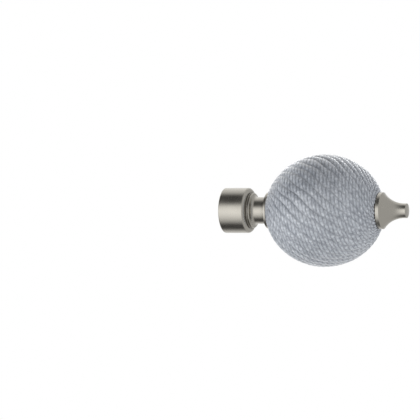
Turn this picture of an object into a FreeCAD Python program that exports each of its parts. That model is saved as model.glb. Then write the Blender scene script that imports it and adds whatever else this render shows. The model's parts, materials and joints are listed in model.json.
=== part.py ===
"""Curtain pole finial: a cord-wound ball between a turned metal collar and a turned metal tip.

The origin is at the centre of the bore's floor, where the pole's end stops. +X runs along the axis to the
tip and +Z is up. Profiles are drawn from the collar's mouth and moved to the origin by each piece's placement.
All sizes are in millimetres.
"""
import FreeCAD, Part
import os
import re
from math import asin, atan2, cos, log, pi, radians, sin, sqrt, tan

import Sketcher

V = FreeCAD.Vector

# Driving dimensions, each written once
SIZES = {
    # Collar that slides over the end of the pole
    "pole_diameter": 28.0,
    "pole_clearance": 0.2,
    "collar_wall": 2.5,
    "collar_length": 20.4,
    "end_wall": 4.9,
    "mouth_chamfer": 0.4,
    "mouth_round": 1.0,
    "shoulder_round": 2.4,
    # Neck between the collar and the ball
    "groove_width": 1.2,
    "groove_round": 0.5,
    "bead_radius": 13.0,
    "bead_width": 1.4,
    "bead_rise": 0.6,
    "neck_radius": 9.85,
    "neck_length": 10.6,
    "neck_flare": 1.9,
    "flange_thickness": 2.0,
    "rim_round": 0.35,
    # Ball and its cord cover
    "rim_radius": 13.4,
    "ball_diameter": 83.0,
    "ball_length": 88.6,
    "cord_diameter": 5.4,
    "turn_count": 36.0,
    "turn_slant": 40.0,
    "turn_depth": 1.2,
    "crest_share": 0.36,
    "hub_radius": 8.0,
    "wrap_clearance": 0.15,
    # Tip
    "rim_width": 3.0,
    "tip_cove": 19.9,
    "tip_radius": 5.35,
    "tip_length": 21.15,
    "tip_dome": 0.4,
    "tip_round": 0.4,
    # Threaded rod and its holes
    "rod_diameter": 6.0,
    "thread_clearance": 0.05,
    "thread_depth": 10.0,
    "rod_end_gap": 0.5,
    "rod_chamfer": 0.6,
    "rod_hole_clearance": 0.3,
    "drill_angle": 59.0,
    # Grub screw that clamps the pole
    "screw_diameter": 4.0,
    "screw_length": 3.0,
    "screw_place": 8.0,
    "screw_chamfer": 0.4,
    "socket_width": 2.0,
    "socket_depth": 1.5,
}

# Lengths that several pieces share, as formulas over the sheet's names
BORE_RADIUS = "(pole_diameter / 2 + pole_clearance)"
COLLAR_RADIUS = f"({BORE_RADIUS} + collar_wall)"
BORE_DEPTH = "(collar_length - end_wall)"
MOUTH = f"(-{BORE_DEPTH})"
BEAD_START = "(collar_length + groove_width)"
BEAD_FOOT = "(bead_radius - bead_rise)"
BEAD_END = f"({BEAD_START} + bead_width)"
NECK_COVE = f"({BEAD_FOOT} - neck_radius)"
FLANGE_BACK = f"({BEAD_END} + neck_length)"
REAR_SEAT = f"({FLANGE_BACK} + flange_thickness)"
HALF_SPAN = "(ball_length / 2 * sqrt(1 - (2 * rim_radius / ball_diameter)^2))"
BALL_CENTRE = f"({REAR_SEAT} + {HALF_SPAN})"
FRONT_SEAT = f"({REAR_SEAT} + 2 * {HALF_SPAN})"
TAPPED_RADIUS = "(rod_diameter / 2 + thread_clearance)"
DRILL_POINT = f"({TAPPED_RADIUS} / tan(drill_angle))"

FACET_LATITUDES = (62, 38, 13, -13, -38, -62)
HUB_LATITUDE = 78
LINE_STEPS = 24

doc = FreeCAD.newDocument("curtain_pole_finial")


def make_sheet():
    """A spreadsheet with one named cell for each driving dimension."""
    sheet = doc.addObject("Spreadsheet::Sheet", "sizes")
    for row, (name, value) in enumerate(SIZES.items(), start=1):
        sheet.set(f"A{row}", name)
        sheet.set(f"B{row}", str(value))
        sheet.setAlias(f"B{row}", name)
    doc.recompute()
    return sheet


sheet = make_sheet()


def bound(formula):
    """The formula with each name pointing to the sheet, as an object's expression needs it."""
    return re.sub(r"[a-z_]{3,}", lambda word: f"sizes.{word[0]}" if word[0] in SIZES else word[0], formula)


def value(formula):
    """The number that a formula has now."""
    return float(sheet.evalExpression(bound(formula)))


def new_body(label):
    """An empty body whose label names its file."""
    body = doc.addObject("PartDesign::Body", label)
    body.Label = label
    return body


def new_sketch(body, name, role="XY_Plane"):
    """A sketch on one of the body's own origin planes."""
    plane = next(feature for feature in body.Origin.OriginFeatures if feature.Role == role)
    sketch = body.newObject("Sketcher::SketchObject", name)
    sketch.AttachmentSupport = (plane, [""])
    sketch.MapMode = "FlatFace"
    return sketch


def pin_point(sketch, edge, end, across, up):
    """Hold one end of an edge at two formulas from the sketch's origin."""
    for kind, formula, axis in (("DistanceX", across, -2), ("DistanceY", up, -1)):
        if formula == "0":
            sketch.addConstraint(Sketcher.Constraint("PointOnObject", edge, end, axis))
            continue
        index = sketch.addConstraint(Sketcher.Constraint(kind, -1, 1, edge, end, value(formula)))
        sketch.setExpression(f"Constraints[{index}]", bound(formula))


def arc_between(start, end, radius, turn):
    """The short arc from start to end that turns left (+1) or right (-1)."""
    chord = end - start
    middle = (start + end) / 2
    rise = sqrt(max(radius**2 - (chord.Length / 2) ** 2, 0.0))
    centre = middle + V(-chord.y, chord.x, 0) / chord.Length * rise * turn
    first, last = (start, end) if turn > 0 else (end, start)
    angles = [atan2(point.y - centre.y, point.x - centre.x) for point in (first, last)]
    if angles[1] < angles[0]:
        angles[1] += 2 * pi
    return Part.ArcOfCircle(Part.Circle(centre, V(0, 0, 1), radius), *angles)


def draw_profile(sketch, points):
    """A closed outline of (along, out) points; a third and fourth entry make the next edge an arc."""
    places = [V(value(point[0]), value(point[1]), 0) for point in points]
    count = len(points)
    ends = []
    for index, point in enumerate(points):
        start, end = places[index], places[(index + 1) % count]
        if len(point) == 2:
            edge = sketch.addGeometry(Part.LineSegment(start, end))
            ends.append((edge, 1, 2))
            continue
        edge = sketch.addGeometry(arc_between(start, end, value(point[2]), point[3]))
        ends.append((edge, 1, 2) if point[3] > 0 else (edge, 2, 1))
        index = sketch.addConstraint(Sketcher.Constraint("Radius", edge, value(point[2])))
        sketch.setExpression(f"Constraints[{index}]", bound(point[2]))
    for index, point in enumerate(points):
        edge, first, last = ends[index]
        following, following_first, _ = ends[(index + 1) % count]
        sketch.addConstraint(Sketcher.Constraint("Coincident", edge, last, following, following_first))
        pin_point(sketch, edge, first, point[0], point[1])


def turn_body(label, points):
    """A body turned about its X axis from a profile of (along, out) points."""
    body = new_body(label)
    sketch = new_sketch(body, f"{label}_profile")
    draw_profile(sketch, points)
    revolution = body.newObject("PartDesign::Revolution", f"{label}_turning")
    revolution.Profile = sketch
    revolution.ReferenceAxis = (sketch, ["H_Axis"])
    revolution.Angle = 360
    body.setExpression("Placement.Base.x", bound(MOUTH))
    doc.recompute()
    return body


def make_collar():
    """The collar, beaded neck and rear flange, turned as one piece."""
    body = turn_body("collar", [
        ("0", f"{BORE_RADIUS} + mouth_chamfer"),
        ("0", f"{COLLAR_RADIUS} - mouth_round", "mouth_round", -1),
        ("mouth_round", COLLAR_RADIUS),
        ("collar_length - shoulder_round", COLLAR_RADIUS, "shoulder_round", -1),
        ("collar_length", f"{COLLAR_RADIUS} - shoulder_round"),
        ("collar_length", f"{BEAD_FOOT} + groove_round", "groove_round", 1),
        ("collar_length + groove_round", BEAD_FOOT),
        (BEAD_START, BEAD_FOOT, "(bead_width^2 / 4 + bead_rise^2) / (2 * bead_rise)", -1),
        (BEAD_END, BEAD_FOOT, NECK_COVE, 1),
        (f"{BEAD_END} + {NECK_COVE}", "neck_radius"),
        (f"{FLANGE_BACK} - neck_flare", "neck_radius", "neck_flare", 1),
        (FLANGE_BACK, "neck_radius + neck_flare"),
        (FLANGE_BACK, "rim_radius - rim_round", "rim_round", -1),
        (f"{FLANGE_BACK} + rim_round", "rim_radius"),
        (f"{REAR_SEAT} - rim_round", "rim_radius", "rim_round", -1),
        (REAR_SEAT, "rim_radius - rim_round"),
        (REAR_SEAT, TAPPED_RADIUS),
        (f"{REAR_SEAT} - thread_depth", TAPPED_RADIUS),
        (f"{REAR_SEAT} - thread_depth - {DRILL_POINT}", "0"),
        (BORE_DEPTH, "0"),
        (BORE_DEPTH, BORE_RADIUS),
        ("mouth_chamfer", BORE_RADIUS),
    ])
    cut_screw_hole(body)
    return body


def cut_screw_hole(body):
    """The tapped hole for the grub screw, through the collar's wall on the +Y side."""
    sketch = new_sketch(body, "screw_hole_circle", "XZ_Plane")
    radius = "screw_diameter / 2 + thread_clearance"
    circle = sketch.addGeometry(Part.Circle(V(value("screw_place"), 0, 0), V(0, 0, 1), value(radius)))
    pin_point(sketch, circle, 3, "screw_place", "0")
    index = sketch.addConstraint(Sketcher.Constraint("Radius", circle, value(radius)))
    sketch.setExpression(f"Constraints[{index}]", bound(radius))
    pocket = body.newObject("PartDesign::Pocket", "screw_hole")
    pocket.Profile = sketch
    pocket.setExpression("Length", bound(COLLAR_RADIUS))
    doc.recompute()


def make_tip():
    """The tip: a rim on the ball, a long hollow curve and a short domed end."""
    cove_drop = "(tip_cove + tip_radius - rim_radius + rim_round)"
    cove_end = f"({FRONT_SEAT} + rim_width + sqrt(tip_cove^2 - {cove_drop}^2))"
    tip_end = f"({FRONT_SEAT} + tip_length)"
    face_radius = "(tip_radius - tip_round)"
    return turn_body("tip", [
        (FRONT_SEAT, TAPPED_RADIUS),
        (FRONT_SEAT, "rim_radius - rim_round", "rim_round", -1),
        (f"{FRONT_SEAT} + rim_round", "rim_radius"),
        (f"{FRONT_SEAT} + rim_width - rim_round", "rim_radius", "rim_round", -1),
        (f"{FRONT_SEAT} + rim_width", "rim_radius - rim_round", "tip_cove", 1),
        (cove_end, "tip_radius"),
        (f"{tip_end} - tip_dome - tip_round", "tip_radius", "tip_round", -1),
        (f"{tip_end} - tip_dome", face_radius, f"({face_radius}^2 + tip_dome^2) / (2 * tip_dome)", -1),
        (tip_end, "0"),
        (f"{FRONT_SEAT} + thread_depth + {DRILL_POINT}", "0"),
        (f"{FRONT_SEAT} + thread_depth", TAPPED_RADIUS),
    ])


def make_rod():
    """The threaded rod that draws the collar and the tip onto the ball."""
    start = f"({REAR_SEAT} - thread_depth + rod_end_gap)"
    end = f"({FRONT_SEAT} + thread_depth - rod_end_gap)"
    radius = "rod_diameter / 2"
    return turn_body("threaded_rod", [
        (start, "0"),
        (start, f"{radius} - rod_chamfer"),
        (f"{start} + rod_chamfer", radius),
        (f"{end} - rod_chamfer", radius),
        (end, f"{radius} - rod_chamfer"),
        (end, "0"),
    ])


def core_facets(gap):
    """The turned facets under the cord, from rear to front, moved out by the gap."""
    half_length = f"(ball_length / 2 - cord_diameter + {gap})"
    half_width = f"(ball_diameter / 2 - cord_diameter + {gap})"
    return [
        (f"{BALL_CENTRE} - {half_length} * sin({latitude})", f"{half_width} * cos({latitude})")
        for latitude in FACET_LATITUDES
    ]


def hub_foot(gap):
    """How far from the centre a hub leaves the last facet."""
    half_length = f"(ball_length / 2 - cord_diameter + {gap})"
    return f"({half_length} * sin({HUB_LATITUDE}))"


def make_core():
    """The turned core with a hub at each end and a clear hole for the rod."""
    hole = "rod_diameter / 2 + rod_hole_clearance"
    foot = hub_foot("0")
    return turn_body("ball_core", [
        (REAR_SEAT, hole),
        (REAR_SEAT, "hub_radius"),
        (f"{BALL_CENTRE} - {foot}", "hub_radius"),
        *core_facets("0"),
        (f"{BALL_CENTRE} + {foot}", "hub_radius"),
        (FRONT_SEAT, "hub_radius"),
        (FRONT_SEAT, hole),
    ])


def core_room():
    """The faces inside the cord cover, a little clear of the core and its hubs."""
    hub = "hub_radius + wrap_clearance"
    foot = hub_foot("wrap_clearance")
    outline = [
        (REAR_SEAT, hub),
        (f"{BALL_CENTRE} - {foot}", hub),
        *core_facets("wrap_clearance"),
        (f"{BALL_CENTRE} + {foot}", hub),
        (FRONT_SEAT, hub),
    ]
    wire = Part.makePolygon([V(value(along), value(out), 0) for along, out in outline])
    return wire.revolve(V(0, 0, 0), V(1, 0, 0), 360).Faces


def cord_line(offset, inset):
    """A line that climbs the ball at a constant slant to its meridians, at an angle and a depth."""
    half_length = value("ball_length / 2")
    half_width = value("ball_diameter / 2")
    end_latitude = asin(value(HALF_SPAN) / half_length)
    slant = tan(radians(value("turn_slant")))
    steps = [2 * step / LINE_STEPS - 1 for step in range(LINE_STEPS + 1)]
    points = []
    for step in steps:
        latitude = end_latitude * step
        turned = offset + slant * log(tan(pi / 4 + latitude / 2))
        radius = half_width * cos(latitude) - inset
        along = value(BALL_CENTRE) + half_length * sin(latitude)
        points.append(V(along, radius * cos(turned), radius * sin(turned)))
    return points


def turn_lines():
    """The valley and the two crest lines of each turn, in order round the ball."""
    count = round(value("turn_count"))
    pitch = 2 * pi / count
    crest = value("crest_share") * pitch
    lines = []
    for turn in range(count):
        middle = turn * pitch
        lines.append(cord_line(middle - pitch / 2, value("turn_depth")))
        lines.append(cord_line(middle - crest / 2, 0.0))
        lines.append(cord_line(middle + crest / 2, 0.0))
    return lines


def strip(line, following):
    """The facets between two neighbouring lines."""
    facets = []
    for start, end, beside, beyond in zip(line, line[1:], following, following[1:]):
        for corners in ((start, end, beside), (end, beyond, beside)):
            facets.append(Part.Face(Part.makePolygon([*corners, corners[0]])))
    return facets


def end_face(ring):
    """A flat end of the cord cover, from the turns in to the hub."""
    hub = Part.makeCircle(value("hub_radius + wrap_clearance"), V(ring[0].x, 0, 0), V(1, 0, 0))
    return Part.makeFace([Part.makePolygon(ring + ring[:1]), Part.Wire(hub)], "Part::FaceMakerBullseye")


def make_winding():
    """The cord's turns as one solid: each turn is a flat crest with two flanks down to the valleys."""
    lines = turn_lines()
    faces = []
    for line, following in zip(lines, lines[1:] + lines[:1]):
        faces += strip(line, following)
    faces.append(end_face([line[0] for line in lines]))
    faces.append(end_face([line[-1] for line in lines]))
    cover = Part.Compound(faces + core_room())
    cover.sewShape()
    winding = doc.addObject("Part::Feature", "cord_winding")
    winding.Label = "cord_winding"
    winding.Shape = Part.makeSolid(cover.Shells[0])
    winding.Placement = FreeCAD.Placement(V(value(MOUTH), 0, 0), FreeCAD.Rotation())
    return winding


def make_grub_screw():
    """A grub screw with a hex socket, backed off so that it clears the pole."""
    radius = "screw_diameter / 2"
    body = turn_body("grub_screw", [
        ("0", "0"),
        ("0", f"{radius} - screw_chamfer"),
        ("screw_chamfer", radius),
        ("screw_length - screw_chamfer", radius),
        ("screw_length", f"{radius} - screw_chamfer"),
        ("screw_length", "0"),
    ])
    cut_socket(body)
    body.Placement = FreeCAD.Placement(V(0, 0, 0), FreeCAD.Rotation(V(0, 0, 1), 90))
    body.setExpression("Placement.Base.x", bound(f"{MOUTH} + screw_place"))
    body.setExpression("Placement.Base.y", bound(BORE_RADIUS))
    doc.recompute()
    return body


def cut_socket(body):
    """The hexagonal socket in the screw's outer end."""
    sketch = new_sketch(body, "socket_hexagon", "YZ_Plane")
    sketch.setExpression("AttachmentOffset.Base.z", bound("screw_length"))
    corner = "(socket_width / 2 / cos(30))"
    places = [(value(corner) * cos(radians(60 * side)), value(corner) * sin(radians(60 * side)))
              for side in range(6)]
    for side in range(6):
        start, end = places[side], places[(side + 1) % 6]
        sketch.addGeometry(Part.LineSegment(V(*start, 0), V(*end, 0)))
    for side in range(6):
        sketch.addConstraint(Sketcher.Constraint("Coincident", side, 2, (side + 1) % 6, 1))
    circle = sketch.addGeometry(Part.Circle(V(0, 0, 0), V(0, 0, 1), value(corner)), True)
    sketch.addConstraint(Sketcher.Constraint("Coincident", circle, 3, -1, 1))
    for side in range(6):
        sketch.addConstraint(Sketcher.Constraint("PointOnObject", side, 1, circle))
    for side in range(1, 6):
        sketch.addConstraint(Sketcher.Constraint("Equal", 0, side))
    sketch.addConstraint(Sketcher.Constraint("PointOnObject", 0, 1, -1))
    index = sketch.addConstraint(Sketcher.Constraint("Radius", circle, value(corner)))
    sketch.setExpression(f"Constraints[{index}]", bound(corner))
    pocket = body.newObject("PartDesign::Pocket", "socket")
    pocket.Profile = sketch
    pocket.setExpression("Length", bound("socket_depth"))
    doc.recompute()


def check_document(pieces):
    """Stop if any object failed or any piece has no sound shape."""
    for item in doc.Objects:
        if "Invalid" in item.State or "Error" in item.State:
            raise RuntimeError(f"{item.Label} failed: {item.State}")
    for piece in pieces:
        if piece.Shape.isNull() or not piece.Shape.isValid():
            raise RuntimeError(f"{piece.Label} has no valid shape")


def main():
    pieces = [make_collar(), make_grub_screw(), make_rod(), make_core(), make_winding(), make_tip()]
    doc.recompute()
    check_document(pieces)
    os.makedirs("parts", exist_ok=True)
    for piece in pieces:
        piece.Shape.exportStep(f"parts/{piece.Label}.step")
        print(f"{piece.Label}: {len(piece.Shape.Solids)} solid, {piece.Shape.Volume / 1000:.2f} cm3")


main()
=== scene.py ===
# %% [markdown]
# # A cord-wound curtain pole finial
# This scene dresses a finial that slides over the end of a curtain pole: a satin nickel collar and neck,
# a ball wound with twisted cord, and a flared nickel tip. The metal parts come from the frame, which is
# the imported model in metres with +X from the pole to the tip. The cord is made here, turn by turn.

# %% Load the frame
import json
from math import cos, pi, radians, sin

import bpy
import numpy as np
from mathutils import Matrix, Vector


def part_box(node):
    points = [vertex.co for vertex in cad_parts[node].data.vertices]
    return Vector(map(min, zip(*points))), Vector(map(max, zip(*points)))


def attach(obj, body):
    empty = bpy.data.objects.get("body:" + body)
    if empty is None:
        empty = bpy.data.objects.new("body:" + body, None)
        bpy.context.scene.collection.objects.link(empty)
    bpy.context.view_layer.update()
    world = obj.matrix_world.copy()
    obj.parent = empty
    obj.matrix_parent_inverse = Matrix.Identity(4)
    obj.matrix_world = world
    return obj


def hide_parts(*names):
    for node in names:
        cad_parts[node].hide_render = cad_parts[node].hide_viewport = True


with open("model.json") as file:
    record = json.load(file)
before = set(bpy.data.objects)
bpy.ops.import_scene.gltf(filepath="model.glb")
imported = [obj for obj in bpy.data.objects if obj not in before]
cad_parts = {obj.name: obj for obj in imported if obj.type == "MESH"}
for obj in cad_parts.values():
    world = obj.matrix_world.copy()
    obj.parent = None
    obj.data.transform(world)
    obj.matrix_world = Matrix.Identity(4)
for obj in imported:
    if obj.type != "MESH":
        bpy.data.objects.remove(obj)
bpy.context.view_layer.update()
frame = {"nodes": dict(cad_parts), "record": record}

nodes = frame["nodes"]
MM = 0.001
print("CAD nodes:", ", ".join(sorted(nodes)))

# %% [markdown]
# The camera comes first, so that every later choice can be judged in its view. A long lens from almost two
# metres away keeps the ball round. It stands twenty degrees round towards the tip, level with the pole's
# axis, so the front faces of the collar and the flanges show as thin ellipses.

# %% Camera
YAW = radians(20.5)
PITCH = radians(0.25)
FOCAL_PX = 2500.0
FRAME_PX = 420.0
MOUTH = Vector((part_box("collar")[0][0], 0.0, 0.0))
MOUTH_IN_VIEW = Vector((11.5, -0.3, 1858.6)) * MM

forward = Vector((-sin(YAW) * cos(PITCH), cos(YAW) * cos(PITCH), -sin(PITCH)))
right = Vector((cos(YAW), sin(YAW), 0.0))
upward = right.cross(forward)

camera_data = bpy.data.cameras.new("camera")
camera_data.sensor_width = 36.0
camera_data.lens = FOCAL_PX / FRAME_PX * camera_data.sensor_width
camera = bpy.data.objects.new("camera", camera_data)
bpy.context.scene.collection.objects.link(camera)
camera.rotation_euler = Matrix((right, upward, -forward)).transposed().to_euler()
camera.location = MOUTH - right * MOUTH_IN_VIEW.x - upward * MOUTH_IN_VIEW.y - forward * MOUTH_IN_VIEW.z
bpy.context.scene.camera = camera
print("camera at", [round(value, 3) for value in camera.location], "lens", round(camera_data.lens, 1), "mm")

# %% [markdown]
# A material is a small graph of nodes. One helper adds a node, sets its inputs and links what feeds it,
# so each material below reads as a list of what the surface is made of. Colours are written as the sRGB
# hex values that a paint chart would give, and turned to the linear numbers that the renderer works in.

# %% Helpers for materials
def linear(hex_colour):
    """An sRGB hex colour as linear red, green, blue and a full alpha."""
    channels = [int(hex_colour[i:i + 2], 16) / 255 for i in (1, 3, 5)]
    return [c / 12.92 if c <= 0.04045 else ((c + 0.055) / 1.055) ** 2.4 for c in channels] + [1.0]


def add_node(tree, kind, inputs=None, **settings):
    """A node with its settings; each input is a value, or the output socket of another node."""
    node = tree.nodes.new(kind)
    for name, value in settings.items():
        setattr(node, name, value)
    for name, value in (inputs or {}).items():
        if isinstance(value, bpy.types.NodeSocket):
            tree.links.new(value, node.inputs[name])
        else:
            node.inputs[name].default_value = value
    return node


def new_material(name):
    """An empty material: its tree, and the shader that every layer ends in."""
    material = bpy.data.materials.new(name)
    material.use_nodes = True
    tree = material.node_tree
    tree.nodes.clear()
    shader = add_node(tree, "ShaderNodeBsdfPrincipled")
    add_node(tree, "ShaderNodeOutputMaterial", {"Surface": shader.outputs["BSDF"]})
    return material, tree, shader


def set_ramp(node, stops):
    """Gives a colour ramp its stops as (place, linear colour)."""
    elements = node.color_ramp.elements
    while len(elements) > 1:
        elements.remove(elements[-1])
    elements[0].position, elements[0].color = stops[0]
    for place, colour in stops[1:]:
        elements.new(place).color = colour

# %% [markdown]
# The collar, neck and tip are zinc castings, turned on a lathe and plated with satin nickel. Nickel is a
# warm grey metal. The satin finish comes from a fine abrasive held against the turning part, which leaves
# hair-thin rings round the axis. They stretch each highlight along the part, so the metal shows soft bands
# instead of sharp pictures of the room. The grooves and tight corners get painted shade: their colour is
# mixed towards a dark brown-grey. Ambient occlusion finds those places: it measures how much of the sky
# each point can see.

# %% Satin nickel plate
def satin_nickel():
    material, tree, shader = new_material("satin_nickel_plate")
    place = add_node(tree, "ShaderNodeTexCoord")
    axis = add_node(tree, "ShaderNodeSeparateXYZ", {"Vector": place.outputs["Object"]})
    ring_spacing = 0.25 * MM
    rings = add_node(tree, "ShaderNodeMath", {0: axis.outputs["X"], 1: 1 / ring_spacing},
                     operation="MULTIPLY")
    scratches = add_node(tree, "ShaderNodeTexNoise", {"W": rings.outputs[0], "Scale": 1.0, "Detail": 3.0},
                         noise_dimensions="1D")
    handled_patch = 18 * MM
    handling = add_node(tree, "ShaderNodeTexNoise",
                        {"Vector": place.outputs["Object"], "Scale": 1 / handled_patch, "Detail": 3.0})
    roughness = add_node(tree, "ShaderNodeMapRange",
                         {"Value": handling.outputs[0], "From Min": 0.3, "From Max": 0.7,
                          "To Min": 0.24, "To Max": 0.31})
    tone = add_node(tree, "ShaderNodeValToRGB", {"Fac": scratches.outputs[0]})
    set_ramp(tone, [(0.3, linear("#CAC6BC")), (0.7, linear("#D0CCC3"))])
    # Painted shade: where little sky is open, the colour darkens towards a dark brown-grey
    groove_reach = 6 * MM
    open_sky = add_node(tree, "ShaderNodeAmbientOcclusion", {"Distance": groove_reach},
                        samples=8, only_local=True)
    painted_groove_shade = add_node(tree, "ShaderNodeMapRange",
                    {"Value": open_sky.outputs["AO"], "From Min": 0.4, "From Max": 0.85,
                     "To Min": 0.9, "To Max": 0.0})
    nickel_with_painted_shade = add_node(tree, "ShaderNodeMix",
                      {0: painted_groove_shade.outputs["Result"], 6: tone.outputs["Color"], 7: linear("#4A463E")},
                      data_type="RGBA")
    scratch_depth = 0.02 * MM
    bump = add_node(tree, "ShaderNodeBump",
                    {"Height": scratches.outputs[0], "Strength": 0.04, "Distance": scratch_depth})
    shader.inputs["Metallic"].default_value = 1.0
    tree.links.new(nickel_with_painted_shade.outputs[2], shader.inputs["Base Color"])
    tree.links.new(roughness.outputs["Result"], shader.inputs["Roughness"])
    tree.links.new(bump.outputs["Normal"], shader.inputs["Normal"])
    return material

# %% [markdown]
# The small and hidden pieces keep plain but real finishes: bright zinc on the rod and the grub screw, whose
# passivated coat is a little blue and blotchy, and bare turned beech for the core, whose grain runs along
# the axis.

# %% Zinc plate and beech
def zinc_plate():
    material, tree, shader = new_material("bright_zinc_plate")
    place = add_node(tree, "ShaderNodeTexCoord")
    blotch_width = 1.5 * MM
    blotches = add_node(tree, "ShaderNodeTexNoise",
                        {"Vector": place.outputs["Object"], "Scale": 1 / blotch_width, "Detail": 4.0})
    tone = add_node(tree, "ShaderNodeValToRGB", {"Fac": blotches.outputs[0]})
    set_ramp(tone, [(0.35, linear("#AEB3B8")), (0.65, linear("#C4C8CB"))])
    tree.links.new(tone.outputs["Color"], shader.inputs["Base Color"])
    shader.inputs["Metallic"].default_value = 1.0
    shader.inputs["Roughness"].default_value = 0.32
    return material


def turned_beech():
    material, tree, shader = new_material("turned_beech")
    place = add_node(tree, "ShaderNodeTexCoord")
    stretched = add_node(tree, "ShaderNodeMapping",
                         {"Vector": place.outputs["Object"], "Scale": (80.0, 900.0, 900.0)})
    grain = add_node(tree, "ShaderNodeTexNoise", {"Vector": stretched.outputs["Vector"], "Detail": 5.0})
    tone = add_node(tree, "ShaderNodeValToRGB", {"Fac": grain.outputs[0]})
    set_ramp(tone, [(0.35, linear("#B98E5E")), (0.65, linear("#D3AC7C"))])
    tree.links.new(tone.outputs["Color"], shader.inputs["Base Color"])
    shader.inputs["Roughness"].default_value = 0.6
    return material

# %% [markdown]
# Each CAD node keeps its own mesh, and takes the finish that its record names.

# %% Dress the CAD nodes
finishes = {"nickel": satin_nickel(), "zinc_steel": zinc_plate(), "core_wood": turned_beech()}
for part in frame["record"]["subparts"]:
    finish = finishes.get(part["material_slot"])
    if finish:
        for material_slot in nodes[part["node"]].material_slots:
            material_slot.material = finish
        print(part["node"], "is", finish.name)

# %% [markdown]
# The ball is covered with one long twisted cord. Each pass leaves the rear flange, climbs over the ball at a
# steady slant to the meridians, and dives in behind the tip. The ball has thirty-two turns. The frame's own
# cover is a plainer solid with thirty-six ridges, so the count is set here and not taken from it.
#
# A twisted cord is a few strands laid round each other, so every pass shows a row of short slanted ridges.
# The surface could be a bump map alone, but the ridges break the ball's outline and hide each other near
# the edge, so the turns and strands are modelled, and only the fibres are left to the material.

# %% Sizes of the winding
winding_low, winding_high = (Vector(corner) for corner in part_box("cord_winding"))
CENTRE = (winding_low.x + winding_high.x) / 2
HALF_SPAN = (winding_high.x - winding_low.x) / 2
HALF_WIDTH = min(winding_high.y, winding_high.z)
HALF_LENGTH = 44.3 * MM
TURNS = 32
SLANT = radians(40)
VALLEY_DEPTH = 0.85 * MM
STRAND_PITCH = 2.6 * MM
STRAND_TWIST = radians(40)
STRAND_DEPTH = 0.5 * MM
# The share of a strand's depth that is left at the edge of its turn
EDGE_RELIEF = 0.4
DASH_LENGTH = 2.6 * MM
# How far a turn's edge wanders, as a share of its width, and how fast, in radians to the metre
EDGE_WANDER = 0.11
WANDER_RATE = (120, 260)
SINK = 0.2 * MM
# Points across each turn, and steps from flange to flange
ACROSS = 10
ALONG = 290
print("ball", round(2 * HALF_WIDTH * 1000, 1), "mm across,", TURNS, "turns")

# %% The wound surface
def grid_faces(rows):
    """The quads between neighbouring rows of points; the last row joins the first."""
    first = (np.arange(rows)[:, None] * (ALONG + 1) + np.arange(ALONG)[None]).ravel()
    after = (first + ALONG + 1) % (rows * (ALONG + 1))
    return np.stack([first, first + 1, after + 1, after], axis=-1)


def wound_ball():
    """The outer surface of the turns as one grid, whose two ends lie behind the flanges."""
    rng = np.random.default_rng(7)
    end_latitude = np.arcsin(HALF_SPAN / HALF_LENGTH)
    latitude = np.linspace(-end_latitude, end_latitude, ALONG + 1)
    turned = np.tan(SLANT) * np.log(np.tan(pi / 4 + latitude / 2))
    side = -np.cos(pi * np.arange(ACROSS) / ACROSS)
    turn = np.repeat(np.arange(TURNS), ACROSS)
    side = np.tile(side, TURNS)

    pitch = 2 * pi / TURNS
    radius = HALF_WIDTH * np.cos(latitude)
    slope = np.hypot(HALF_LENGTH * np.cos(latitude), HALF_WIDTH * np.sin(latitude))
    ground = radius * np.gradient(turned, latitude)
    step = np.hypot(slope, ground)
    travelled = np.concatenate([[0], np.cumsum((step[1:] + step[:-1]) / 2 * np.diff(latitude))])
    width = pitch * radius * slope / step

    wave = rng.uniform(0, 2 * pi, (TURNS, 1)) + travelled[None] * rng.uniform(*WANDER_RATE, (TURNS, 1))
    edge = turned[None] + pitch * (np.arange(TURNS)[:, None] - 0.5 + EDGE_WANDER * np.sin(wave))
    next_edge = np.vstack([edge[1:], edge[:1] + 2 * pi])
    angle = (edge + next_edge)[turn] / 2 + (next_edge - edge)[turn] / 2 * side[:, None]
    across = side[:, None] * width[None] / 2
    travelled = travelled[None] + across * ground / slope
    travelled = travelled + rng.uniform(0, 10 * STRAND_PITCH, TURNS)[turn][:, None]
    strand = (travelled * sin(STRAND_TWIST) - across * cos(STRAND_TWIST)) / STRAND_PITCH
    crown = np.sqrt(1 - (2 * (strand % 1) - 1) ** 2)
    bulge = (1 - side ** 2)[:, None]
    relief = EDGE_RELIEF + (1 - EDGE_RELIEF) * bulge
    sink = SINK * rng.uniform(0, 1, TURNS)[turn][:, None] * bulge
    drop = -VALLEY_DEPTH * (1 - bulge) - STRAND_DEPTH * (1 - crown) * relief - sink

    normal_along = np.sin(latitude) / HALF_LENGTH
    normal_out = np.cos(latitude) / HALF_WIDTH
    length = np.hypot(normal_along, normal_out)
    x = CENTRE + HALF_LENGTH * np.sin(latitude) + drop * normal_along / length
    out = radius + drop * normal_out / length
    x = np.clip(x, CENTRE - HALF_SPAN, CENTRE + HALF_SPAN)
    points = np.stack([x, out * np.cos(angle), out * np.sin(angle)], axis=-1)
    place = np.stack([travelled, across, np.broadcast_to(bulge, across.shape)], axis=-1)
    return points.reshape(-1, 3), grid_faces(len(turn)), place.reshape(-1, 3)


def make_mesh(name, points, faces):
    """A mesh object from arrays of corners and quads."""
    mesh = bpy.data.meshes.new(name)
    mesh.from_pydata(points.tolist(), [], faces.tolist())
    mesh.shade_smooth()
    piece = bpy.data.objects.new(name, mesh)
    bpy.context.scene.collection.objects.link(piece)
    return piece


points, faces, cord_place = wound_ball()
winding = make_mesh("wound_cord", points, faces)
layer = winding.data.attributes.new("cord_place", "FLOAT_VECTOR", "POINT")
layer.data.foreach_set("vector", cord_place.ravel())
print("wound cord:", len(faces) * 2, "triangles")
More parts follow.
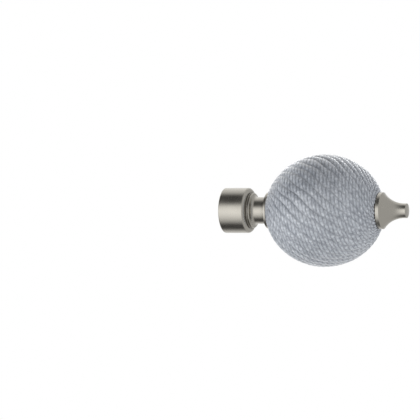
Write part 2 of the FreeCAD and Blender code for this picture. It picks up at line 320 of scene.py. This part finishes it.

# %% [markdown]
# The cord is spun from viscose, a bright man-made yarn: each strand shines softly along its crown. The
# grooves between strands and the valleys between turns get painted shade: their colour is mixed towards a
# dark slate.
# The colour is a cool grey-blue that varies a little from fibre to fibre. Spun yarn is never even: slubs
# push the grooves to one side or the other, and each strand is lighter and darker in short dashes. The
# material works in the cord's own coordinates, along and across each pass. A sheen layer gives the pale
# bloom that fine fibres show at a glancing angle.

# %% Twisted viscose cord
def viscose_cord():
    material, tree, shader = new_material("twisted_viscose_cord")
    place = add_node(tree, "ShaderNodeAttribute", attribute_name="cord_place")
    parts = add_node(tree, "ShaderNodeSeparateXYZ", {"Vector": place.outputs["Vector"]})
    turned = add_node(tree, "ShaderNodeMapping",
                      {"Vector": place.outputs["Vector"], "Rotation": (0.0, 0.0, pi / 2 - STRAND_TWIST),
                       "Scale": (1.0, 1.0, 0.0)})
    lay = add_node(tree, "ShaderNodeSeparateXYZ", {"Vector": turned.outputs["Vector"]})
    strand = add_node(tree, "ShaderNodeMath", {0: lay.outputs["X"], 1: 1 / STRAND_PITCH},
                      operation="MULTIPLY")

    slub_length = 1.2 * MM
    slub_shift = 0.45
    slub = add_node(tree, "ShaderNodeTexNoise",
                    {"Vector": place.outputs["Vector"], "Scale": 1 / slub_length, "Detail": 2.0})
    shift = add_node(tree, "ShaderNodeMapRange",
                     {"Value": slub.outputs[0], "To Min": -slub_shift, "To Max": slub_shift})
    uneven = add_node(tree, "ShaderNodeMath", {0: strand.outputs[0], 1: shift.outputs[0]}, operation="ADD")
    crown = add_node(tree, "ShaderNodeMath", {0: uneven.outputs[0], 1: 0.5}, operation="PINGPONG")
    number = add_node(tree, "ShaderNodeMath", {0: uneven.outputs[0]}, operation="FLOOR")

    # Strands next to each other read the noise this far apart, so their dashes don't line up
    noise_gap = 7.3
    apart = add_node(tree, "ShaderNodeMath", {0: number.outputs[0], 1: noise_gap}, operation="MULTIPLY")
    along = add_node(tree, "ShaderNodeMath", {0: lay.outputs["Y"], 1: 1 / DASH_LENGTH},
                     operation="MULTIPLY")
    dash_place = add_node(tree, "ShaderNodeCombineXYZ", {"X": apart.outputs[0], "Y": along.outputs[0]})
    dashes = add_node(tree, "ShaderNodeTexNoise",
                      {"Vector": dash_place.outputs["Vector"], "Scale": 1.0, "Detail": 1.0},
                      noise_dimensions="2D")

    fibre_width = 0.5 * MM
    fibre_stretch = 0.25
    stretched = add_node(tree, "ShaderNodeMapping",
                         {"Vector": turned.outputs["Vector"],
                          "Scale": (1 / fibre_width, fibre_stretch / fibre_width, 1.0)})
    fibres = add_node(tree, "ShaderNodeTexNoise",
                      {"Vector": stretched.outputs["Vector"], "Scale": 1.0, "Detail": 4.0})
    dash_share = 0.32
    tone = add_node(tree, "ShaderNodeMix", {0: dash_share, 2: fibres.outputs[0], 3: dashes.outputs[0]})
    fibre_tone = add_node(tree, "ShaderNodeValToRGB", {"Fac": tone.outputs[0]})
    set_ramp(fibre_tone, [(0.32, linear("#5B606B")), (0.5, linear("#949AA3")), (0.68, linear("#C6CAD0"))])

    # Painted shade: the colour darkens towards slate in the grooves between strands, patchy along the
    # dashes, and in the valleys between turns
    patch = add_node(tree, "ShaderNodeMapRange",
                     {"Value": dashes.outputs[0], "From Min": 0.35, "From Max": 0.65,
                      "To Min": 1.0, "To Max": 0.6})
    depth = add_node(tree, "ShaderNodeMapRange",
                     {"Value": crown.outputs[0], "From Min": 0.0, "From Max": 0.28,
                      "To Min": patch.outputs[0], "To Max": 0.0})
    painted_valley_shade = add_node(tree, "ShaderNodeMapRange",
                      {"Value": parts.outputs["Z"], "From Min": 0.0, "From Max": 0.8,
                       "To Min": 0.5, "To Max": 0.0})
    shade = add_node(tree, "ShaderNodeMath", {0: depth.outputs[0], 1: painted_valley_shade.outputs[0]},
                     operation="MAXIMUM")
    colour = add_node(tree, "ShaderNodeMix",
                      {0: shade.outputs[0], 6: fibre_tone.outputs["Color"], 7: linear("#40444F")},
                      data_type="RGBA")
    fibre_height = 0.15 * MM
    bump = add_node(tree, "ShaderNodeBump",
                    {"Height": tone.outputs[0], "Strength": 0.6, "Distance": fibre_height})
    tree.links.new(colour.outputs[2], shader.inputs["Base Color"])
    tree.links.new(bump.outputs["Normal"], shader.inputs["Normal"])
    shader.inputs["Roughness"].default_value = 0.42
    shader.inputs["IOR"].default_value = 1.9
    shader.inputs["Specular IOR Level"].default_value = 1.0
    shader.inputs["Sheen Weight"].default_value = 1.0
    shader.inputs["Sheen Roughness"].default_value = 0.3
    return material


winding.data.materials.append(viscose_cord())
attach(winding, "root")
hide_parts("cord_winding")
print("wound cord is", winding.data.materials[0].name)

# %% [markdown]
# A product photograph of polished or satin metal is lit by large soft boxes, and the metal shows them as
# bands. Here a wide front box gives the pale band along the middle of every cylinder, a dark ceiling and a
# dark floor side give the two grey bands beside it, and the white room behind lights the edges. All of
# that is painted into the world by direction, as a ramp round the pole's axis. The camera itself sees plain
# white.

# %% World
def studio_world():
    """White to the camera; to everything else, bands of light by their angle round the X axis."""
    world = bpy.data.worlds.new("studio")
    bpy.context.scene.world = world
    world.use_nodes = True
    tree = world.node_tree
    tree.nodes.clear()
    direction = add_node(tree, "ShaderNodeTexCoord")
    parts = add_node(tree, "ShaderNodeSeparateXYZ", {"Vector": direction.outputs["Generated"]})
    front = add_node(tree, "ShaderNodeMath", {0: parts.outputs["Y"], 1: -1.0}, operation="MULTIPLY")
    round_axis = add_node(tree, "ShaderNodeMath", {0: parts.outputs["Z"], 1: front.outputs[0]},
                          operation="ARCTAN2")
    share = add_node(tree, "ShaderNodeMapRange",
                     {"Value": round_axis.outputs[0], "From Min": -pi, "From Max": pi})
    bands = add_node(tree, "ShaderNodeValToRGB", {"Fac": share.outputs["Result"]})
    # Brightness by the degrees above the level view: 0 is the front, 90 straight up
    levels = {-180: 1.0, -135: 0.7, -106: 0.05, -78: 0.04, -48: 0.7, -26: 1.05, -6: 1.25, 18: 1.02,
              34: 0.3, 44: 0.04, 80: 0.02, 106: 0.65, 145: 1.0, 180: 1.0}
    set_ramp(bands, [((degrees + 180) / 360, [level, level, level, 1.0])
                     for degrees, level in levels.items()])
    beside = add_node(tree, "ShaderNodeMapRange",
                      {"Value": parts.outputs["X"], "From Min": -0.3, "From Max": 0.25})
    tip_side = (0.48, 0.48, 0.48, 1.0)
    room = add_node(tree, "ShaderNodeMix",
                    {0: beside.outputs["Result"], 6: bands.outputs["Color"], 7: tip_side},
                    data_type="RGBA")
    lit = add_node(tree, "ShaderNodeBackground", {"Color": room.outputs[2], "Strength": 1.0})
    white = add_node(tree, "ShaderNodeBackground", {"Color": (1.0, 1.0, 1.0, 1.0), "Strength": 1.0})
    path = add_node(tree, "ShaderNodeLightPath")
    chosen = add_node(tree, "ShaderNodeMixShader",
                      {0: path.outputs["Is Camera Ray"], 1: lit.outputs[0], 2: white.outputs[0]})
    add_node(tree, "ShaderNodeOutputWorld", {"Surface": chosen.outputs[0]})


studio_world()
print("world is", bpy.context.scene.world.name)

# %% [markdown]
# The cord isn't shiny enough to show the painted room, so four soft boxes model its roundness: one low on
# each side, one in front, and a large one high behind that lights the ball's upper edge. They are hidden
# from reflections, so the metal's bands stay as the world paints them. The floor lies well below, where it
# sends a little light up and throws no shadow into view.

# %% Lamps and floor
def area_lamp(name, place, size, watts):
    """A square soft box that faces the middle of the ball."""
    data = bpy.data.lights.new(name, "AREA")
    data.size = size
    data.energy = watts
    lamp = bpy.data.objects.new(name, data)
    bpy.context.scene.collection.objects.link(lamp)
    target = Vector((CENTRE, 0.0, 0.0))
    lamp.location = place
    lamp.rotation_euler = (target - lamp.location).to_track_quat("-Z", "Y").to_euler()
    lamp.visible_glossy = False


area_lamp("left_box", Vector((-1.1, -0.4, -0.15)), 0.25, 11.0)
area_lamp("right_box", Vector((1.2, -0.4, -0.1)), 0.3, 7.0)
area_lamp("front_box", Vector((0.0, -1.1, -0.3)), 0.4, 4.0)
area_lamp("rim_box", Vector((0.1, 1.15, 0.75)), 0.9, 28.0)

FLOOR_HEIGHT = -1.0
FLOOR_REACH = 3.0
corners = [[FLOOR_REACH * x, FLOOR_REACH * y, FLOOR_HEIGHT] for x, y in ((-1, -1), (1, -1), (1, 1), (-1, 1))]
floor = make_mesh("floor", np.array(corners), np.array([[0, 1, 2, 3]]))
floor_finish, floor_tree, floor_shader = new_material("pale_floor_paint")
floor_shader.inputs["Base Color"].default_value = linear("#F4F4F2")
floor_shader.inputs["Roughness"].default_value = 0.8
floor.data.materials.append(floor_finish)
floor.visible_glossy = False
print("four lamps and a floor at", FLOOR_HEIGHT, "m")

# %% [markdown]
# The view transform stays Standard, so a colour renders about as it is written.

# %% View
bpy.context.scene.view_settings.view_transform = "Standard"
